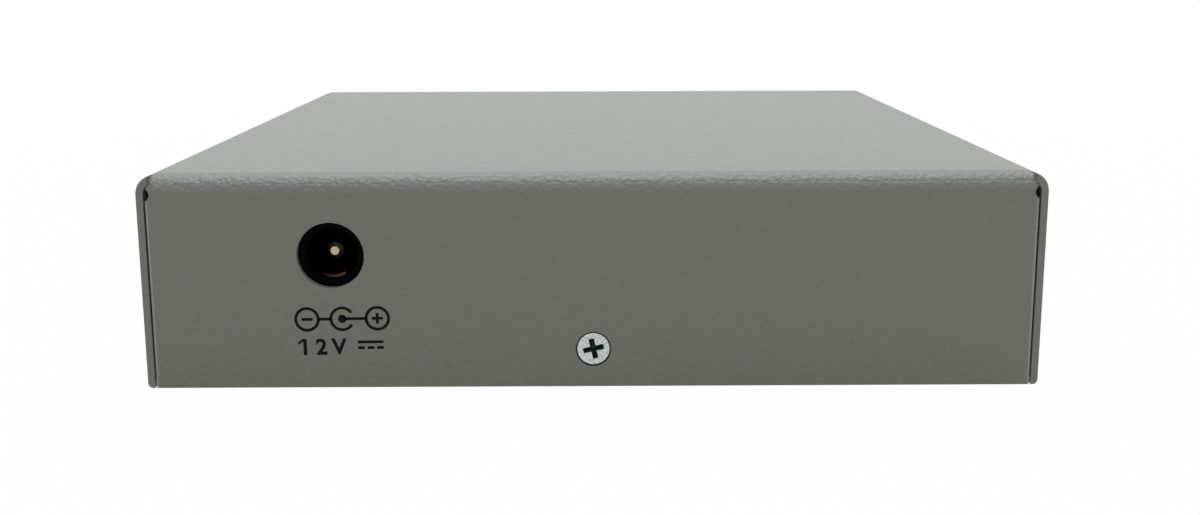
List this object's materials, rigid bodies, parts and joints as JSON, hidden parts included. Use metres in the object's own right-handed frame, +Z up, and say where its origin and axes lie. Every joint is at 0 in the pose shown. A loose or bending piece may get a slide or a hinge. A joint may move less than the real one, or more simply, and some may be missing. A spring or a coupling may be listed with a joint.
{
  "type": "fibre media converter",
  "caption": "Compact desktop fibre media converter in a folded steel case, with a coaxial power inlet behind and copper and duplex fibre ports, lamps, button and slide switch in front.",
  "frame": {"origin": "centre of the bounding box at the bottom of the rubber feet, on the table", "axes": "+X to the right seen from the rear panel, +Y from the rear panel to the ports, +Z up"},
  "size_m": [0.1048, 0.0968, 0.0269],
  "materials": {
    "case_paint": "fine orange-peel textured powder coat, satin grey",
    "zinc_steel": "bright zinc-plated steel",
    "jack_plastic": "black moulded plastic",
    "contact_metal": "nickel and tin-plated contact metal",
    "gold_contact": "gold-flashed spring contacts",
    "board_green": "green solder mask",
    "chip_black": "black moulded package",
    "port_shield": "tin-plated shield",
    "fibre_plastic": "black moulded port body",
    "ceramic_sleeve": "white zirconia",
    "led_lens": "tinted diffused lamp",
    "rubber_foot": "soft black rubber",
    "can_sleeve": "shrink sleeve",
    "button_plastic": "black moulded button",
    "knob_plastic": "white moulded knob",
    "ferrite": "grey sintered ferrite",
    "copper_strip": "copper-coloured spring strip",
    "marking_ink": "black printed power marking on the rear panel",
    "ceramic_chip": "buff ceramic"
  },
  "bodies": {
    "case": {"cover": "case_paint", "base_pan": "case_paint", "hold_down_clips": "zinc_steel", "cover_screw": "zinc_steel", "rubber_feet": "rubber_foot", "board_standoffs": "zinc_steel", "board_screws": "zinc_steel", "circuit_board": "board_green", "dc_jack_housing": "jack_plastic", "dc_jack_pin": "contact_metal", "dc_jack_leaf": "copper_strip", "dc_jack_tab": "contact_metal", "rj45_housing": "jack_plastic", "rj45_shield": "port_shield", "rj45_contacts": "gold_contact", "fibre_housing": "fibre_plastic", "fibre_sleeves": "ceramic_sleeve", "fibre_latches": "fibre_plastic", "fibre_optic_cans": "contact_metal", "fibre_module_board": "board_green", "fibre_pins": "gold_contact", "led_holder": "jack_plastic", "led_lenses": "led_lens", "led_leads": "contact_metal", "button_switch": "jack_plastic", "slide_switch": "jack_plastic", "main_chip": "chip_black", "main_chip_leads": "contact_metal", "magnetics": "chip_black", "magnetics_leads": "contact_metal", "memory_chip": "chip_black", "memory_leads": "contact_metal", "capacitors": "can_sleeve", "inductor_body": "ferrite", "inductor_terminals": "contact_metal", "crystal_can": "contact_metal", "regulator_body": "chip_black", "regulator_tab": "contact_metal", "protection_diode": "chip_black", "chip_capacitors": "ceramic_chip"},
    "push_button": {"push_button": "button_plastic"},
    "slide_knob": {"slide_knob": "knob_plastic"}
  },
  "joints": [
    {"name": "push_button_press", "type": "slide", "parent": "case", "child": "push_button", "axis": [0, -1, 0], "range_m": [0, 0.001], "stiffness_N_per_m": 400},
    {"name": "slide_knob_throw", "type": "slide", "parent": "case", "child": "slide_knob", "axis": [1, 0, 0], "range_m": [-0.002, 0.002]}
  ]
}
